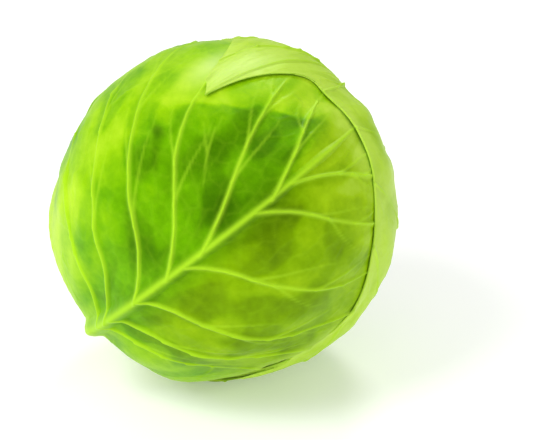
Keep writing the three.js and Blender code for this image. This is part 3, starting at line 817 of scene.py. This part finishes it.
# %% Leaf finishes


def new_material(name):
    material = bpy.data.materials.new(name)
    material.use_nodes = True
    tree = material.node_tree
    return material, tree, tree.nodes["Principled BSDF"]


def add_node(tree, kind, **settings):
    node = tree.nodes.new(kind)
    for name, value in settings.items():
        setattr(node, name, value)
    return node


def put(tree, value, target):
    if isinstance(value, bpy.types.NodeSocket):
        tree.links.new(value, target)
    elif isinstance(value, tuple):
        target.default_value = (*value, 1)
    else:
        target.default_value = value


def noise_on(tree, vector, scale, detail=3.0, roughness=0.55):
    node = add_node(tree, "ShaderNodeTexNoise")
    node.inputs["Scale"].default_value = scale
    node.inputs["Detail"].default_value = detail
    node.inputs["Roughness"].default_value = roughness
    tree.links.new(vector, node.inputs["Vector"])
    return node.outputs["Fac"]


def calculate(tree, operation, first, second):
    node = add_node(tree, "ShaderNodeMath", operation=operation)
    put(tree, first, node.inputs[0])
    put(tree, second, node.inputs[1])
    return node.outputs[0]


def mix_colour(tree, factor, first, second):
    node = add_node(tree, "ShaderNodeMix", data_type="RGBA")
    put(tree, factor, node.inputs["Factor"])
    colours = [item for item in node.inputs if item.type == "RGBA"]
    put(tree, first, colours[0])
    put(tree, second, colours[1])
    return [item for item in node.outputs if item.type == "RGBA"][0]


def attribute(tree, name):
    return add_node(tree, "ShaderNodeAttribute", attribute_name=name).outputs["Fac"]


def ramp(tree, value, stops):
    node = add_node(tree, "ShaderNodeValToRGB")
    elements = node.color_ramp.elements
    while len(elements) < len(stops):
        elements.new(0.5)
    for element, (position, colour) in zip(elements, stops):
        element.position = position
        element.color = (*colour, 1)
    put(tree, value, node.inputs["Fac"])
    return node.outputs["Color"]


def bump(tree, height, distance, strength=1.0):
    node = add_node(tree, "ShaderNodeBump")
    node.inputs["Strength"].default_value = strength
    node.inputs["Distance"].default_value = distance
    put(tree, height, node.inputs["Height"])
    return node.outputs["Normal"]


def green(red, green_, blue):
    return tuple(value / 255 / 12.92 if value <= 10 else ((value / 255 + 0.055) / 1.055) ** 2.4
                 for value in (red, green_, blue))


COOL_GREENS = [(0, green(36, 80, 0)), (0.25, green(60, 114, 0)), (0.5, green(92, 158, 0)),
               (0.75, green(136, 190, 2)), (1, green(172, 212, 26))]
WARM_GREENS = [(0, green(58, 86, 0)), (0.25, green(88, 120, 0)), (0.5, green(120, 158, 0)),
               (0.75, green(152, 190, 16)), (1, green(176, 210, 70))]
VEIN_GREEN = green(166, 212, 40)
EDGE_GREEN = green(180, 214, 80)
PAINTED_HIGHLIGHT_GREEN = green(206, 232, 140)
NET_SHARE = 0.06
BRANCH_SHARE = 0.5
VEIN_SHARE = 0.85
CROWN_VEIN_SHARE = 0.7


def leaf_material(name, vein_share):
    material, tree, shader = new_material(name)
    uv = add_node(tree, "ShaderNodeUVMap", uv_map="flat_leaf").outputs["UV"]
    fine = calculate(tree, "SUBTRACT", noise_on(tree, uv, 70, 4.0, 0.6), 0.5)
    tone = calculate(tree, "ADD", attribute(tree, "tone"), calculate(tree, "MULTIPLY", fine, 0.28))
    cool, warm = ramp(tree, tone, COOL_GREENS), ramp(tree, tone, WARM_GREENS)
    colour = mix_colour(tree, attribute(tree, "warmth"), cool, warm)
    # painted highlight: the green turns pale where the sheen lies on the crown corner and beside the fold
    colour = mix_colour(tree, attribute(tree, "painted_highlight"), colour, PAINTED_HIGHLIGHT_GREEN)
    for mark, share in (("net", NET_SHARE), ("branch", BRANCH_SHARE * vein_share), ("pale", vein_share)):
        covered = calculate(tree, "MULTIPLY", attribute(tree, mark), share)
        colour = mix_colour(tree, covered, colour, VEIN_GREEN)
    thin = calculate(tree, "POWER", attribute(tree, "edge"), 6.0)
    colour = mix_colour(tree, calculate(tree, "MULTIPLY", thin, 0.5), colour, EDGE_GREEN)
    tree.links.new(colour, shader.inputs["Base Color"])
    tree.links.new(bump(tree, noise_on(tree, uv, 180, 3.0), 0.00012), shader.inputs["Normal"])
    shader.inputs["Roughness"].default_value = 0.42
    shader.inputs["Specular IOR Level"].default_value = 0.12
    shader.inputs["Specular Tint"].default_value = (0.7, 1.0, 0.25, 1)
    shader.inputs["Subsurface Weight"].default_value = 0.1
    shader.inputs["Subsurface Radius"].default_value = (0.7, 1.0, 0.1)
    shader.inputs["Subsurface Scale"].default_value = 0.003
    return material


for name, piece in pieces.items():
    vein_share = CROWN_VEIN_SHARE if name == "leaf_over_crown" else VEIN_SHARE
    piece.data.materials.append(leaf_material(name + "_skin", vein_share))
print(len(pieces), "leaf finishes")

# %% [markdown]
# ## Heart and stem
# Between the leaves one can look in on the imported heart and, at the low end, on the short stem that the
# head was cut from. Both are bodies turned round the axis, so each is made from one grid: across the grid
# goes round the axis, and up the grid goes along an outline. The cut face is pale and moist, with a ring
# of darker threads inside its rind.

# %% Heart and stem
STEM_RADIUS = 15
STEM_CUT = 81
STEM_CHAMFER = 1
STEM_LENGTH = 18
CORE_DEPTH = 34
CORE_END_RADIUS = 6
STEM_CLEARANCE = 0.5
SOCKET_SHARE = 0.14  # the part of the heart's outline that goes down into the socket of the core
SOCKET_RIM = 73
NECK_ANGLE = math.degrees(math.asin((STEM_RADIUS + STEM_CLEARANCE) / (BALL_RADIUS - NECK_HOLLOW)))


def around_axis(turn, radius, depth):
    side = np.cos(turn)[:, None] * frontward + np.sin(turn)[:, None] * floorward
    return side * radius[:, None] - crownward * depth[:, None]


def turned_piece(name, columns, rows, place):
    bm = bmesh.new()
    bmesh.ops.create_grid(bm, x_segments=columns, y_segments=rows, size=1)
    turn = np.array([vert.co.x for vert in bm.verts]) * np.pi
    share = np.array([vert.co.y for vert in bm.verts]) * 0.5 + 0.5
    places, marks = place(turn, share)
    layers = {mark: bm.verts.layers.float.new(mark) for mark in marks}
    for i, vert in enumerate(bm.verts):
        vert.co = places[i] * MM
        for mark, layer in layers.items():
            vert[layer] = marks[mark][i]
    bmesh.ops.remove_doubles(bm, verts=bm.verts, dist=1e-6)
    bmesh.ops.recalc_face_normals(bm, faces=bm.faces)
    for face in bm.faces:
        face.smooth = True
    mesh = bpy.data.meshes.new(name + "_body")
    bm.to_mesh(mesh)
    bm.free()
    piece = bpy.data.objects.new(name + "_body", mesh)
    bpy.context.scene.collection.objects.link(piece)
    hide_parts(name)
    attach(piece, "root")
    print(name, "has", 2 * len(mesh.polygons), "triangles")
    return piece


def heart_place(turn, share):
    stops = [0, 0.4 * SOCKET_SHARE, 0.9 * SOCKET_SHARE, SOCKET_SHARE]
    bottom = CORE_DEPTH - STEM_CLEARANCE
    wide = STEM_RADIUS + STEM_CLEARANCE
    radius = np.interp(share, stops, [0, CORE_END_RADIUS + STEM_CLEARANCE, wide, wide])
    depth = np.interp(share, stops, [bottom, bottom, STEM_CUT - STEM_LENGTH - STEM_CLEARANCE, SOCKET_RIM])
    from_stem = np.radians(lerp(NECK_ANGLE, 180, np.clip((share - SOCKET_SHARE) / (1 - SOCKET_SHARE), 0, 1)))
    directions = around_axis(turn, np.sin(from_stem), np.cos(from_stem))
    on_ball = directions * ball_radius(directions)[:, None]
    places = np.where((share > SOCKET_SHARE)[:, None], on_ball, around_axis(turn, radius, depth))
    return centre + places, dict(lobes=0.5 + 0.5 * np.sin(5 * turn + 3 * from_stem))


def stem_place(turn, share):
    stops = [0, 0.1, 0.35, 0.62, 0.66, 1]
    radii = [0, CORE_END_RADIUS, STEM_RADIUS, STEM_RADIUS, STEM_RADIUS - STEM_CHAMFER, 0]
    depths = [CORE_DEPTH, CORE_DEPTH + 1, STEM_CUT - STEM_LENGTH, STEM_CUT - STEM_CHAMFER, STEM_CUT, STEM_CUT]
    radius = np.interp(share, stops, radii)
    depth = np.interp(share, stops, depths)
    on_cut = smooth(share, 0.62, 0.7)
    on_side = smooth(share, 0.3, 0.4) * (1 - on_cut)
    radius = radius - on_side * (0.25 + 0.25 * np.sin(7 * turn + 0.6 * depth))
    uneven = 0.12 * np.sin(5 * turn) * radius / STEM_RADIUS + 0.12 * np.sin(2.1 * radius)
    depth = depth - on_cut * (0.3 + uneven)
    threads = np.exp(-(((radius - 11) / 1.1) ** 2)) * (0.6 + 0.4 * np.sin(30 * turn))
    return centre + around_axis(turn, radius, depth), dict(cut=on_cut, threads=threads * on_cut)


heart = turned_piece("heart", 120, 90, heart_place)
stem = turned_piece("stem", 96, 90, stem_place)

material, tree, shader = new_material("heart_skin")
colour = mix_colour(tree, attribute(tree, "lobes"), green(168, 208, 70), green(196, 226, 110))
tree.links.new(colour, shader.inputs["Base Color"])
shader.inputs["Roughness"].default_value = 0.5
heart.data.materials.append(material)

material, tree, shader = new_material("stem_flesh")
position = add_node(tree, "ShaderNodeTexCoord").outputs["Object"]
colour = mix_colour(tree, attribute(tree, "cut"), green(190, 212, 120), green(232, 234, 196))
threads = calculate(tree, "MULTIPLY", attribute(tree, "threads"), 0.6)
colour = mix_colour(tree, threads, colour, green(178, 176, 110))
stains = calculate(tree, "MULTIPLY", noise_on(tree, position, 220, 4.0, 0.65), 0.3)
colour = mix_colour(tree, stains, colour, green(196, 178, 124))
tree.links.new(colour, shader.inputs["Base Color"])
tree.links.new(bump(tree, noise_on(tree, position, 900, 3.0), 0.0003), shader.inputs["Normal"])
shader.inputs["Roughness"].default_value = 0.55
stem.data.materials.append(material)

# %% [markdown]
# ## Table, light and air
# The head lies on a plain white table under soft light. The table is a light table, lit faintly from below,
# because a shadow stays soft and pale on it and takes less green from the leaves. One large soft lamp
# stands high at the left and in front, because the left side of the head is the bright one. A second one
# behind and above gives the sheen on top, and two weak ones fill the front and the right. Only the one
# for the sheen is mirrored in the leaves: the others would lay pale patches over the green.

# %% Studio
bm = bmesh.new()
bmesh.ops.create_grid(bm, x_segments=1, y_segments=1, size=3)
bmesh.ops.translate(bm, verts=bm.verts, vec=(0, 0, -0.0002))
table_mesh = bpy.data.meshes.new("table")
bm.to_mesh(table_mesh)
bm.free()
table = bpy.data.objects.new("table", table_mesh)
bpy.context.scene.collection.objects.link(table)
table_material, table_tree, table_shader = new_material("white_table")
table_shader.inputs["Base Color"].default_value = (0.92, 0.92, 0.92, 1)
table_shader.inputs["Roughness"].default_value = 0.8
table_shader.inputs["Specular IOR Level"].default_value = 0.1
table_shader.inputs["Emission Color"].default_value = (1, 1, 1, 1)
table_shader.inputs["Emission Strength"].default_value = 0.14
table_mesh.materials.append(table_material)


def soft_lamp(name, place, aim, size, power, mirrored=False):
    lamp_data = bpy.data.lights.new(name, "AREA")
    lamp_data.shape = "RECTANGLE"
    lamp_data.size, lamp_data.size_y = size
    lamp_data.energy = power
    lamp = bpy.data.objects.new(name, lamp_data)
    lamp.location = place
    lamp.rotation_euler = (Vector(aim) - Vector(place)).to_track_quat("-Z", "Y").to_euler()
    lamp.visible_glossy = mirrored
    bpy.context.scene.collection.objects.link(lamp)


HEAD_MIDDLE = (0, 0, CENTRE_HEIGHT * MM)
soft_lamp("key", (-0.75, -0.5, 1.0), HEAD_MIDDLE, (0.6, 0.6), 11)
soft_lamp("sheen", (0.25, 0.75, 1.0), HEAD_MIDDLE, (0.35, 0.25), 5, mirrored=True)
soft_lamp("front", (-0.5, -1.1, 0.25), HEAD_MIDDLE, (0.6, 0.6), 3.5)
soft_lamp("fill", (1.0, -0.6, 0.5), HEAD_MIDDLE, (0.6, 0.6), 3.5)
world = bpy.data.worlds.new("studio")
world.use_nodes = True
world.node_tree.nodes["Background"].inputs["Color"].default_value = (1, 1, 1, 1)
world.node_tree.nodes["Background"].inputs["Strength"].default_value = 0.5
bpy.context.scene.world = world
bpy.context.scene.view_settings.view_transform = "Standard"
print("four soft lamps and a bright room")
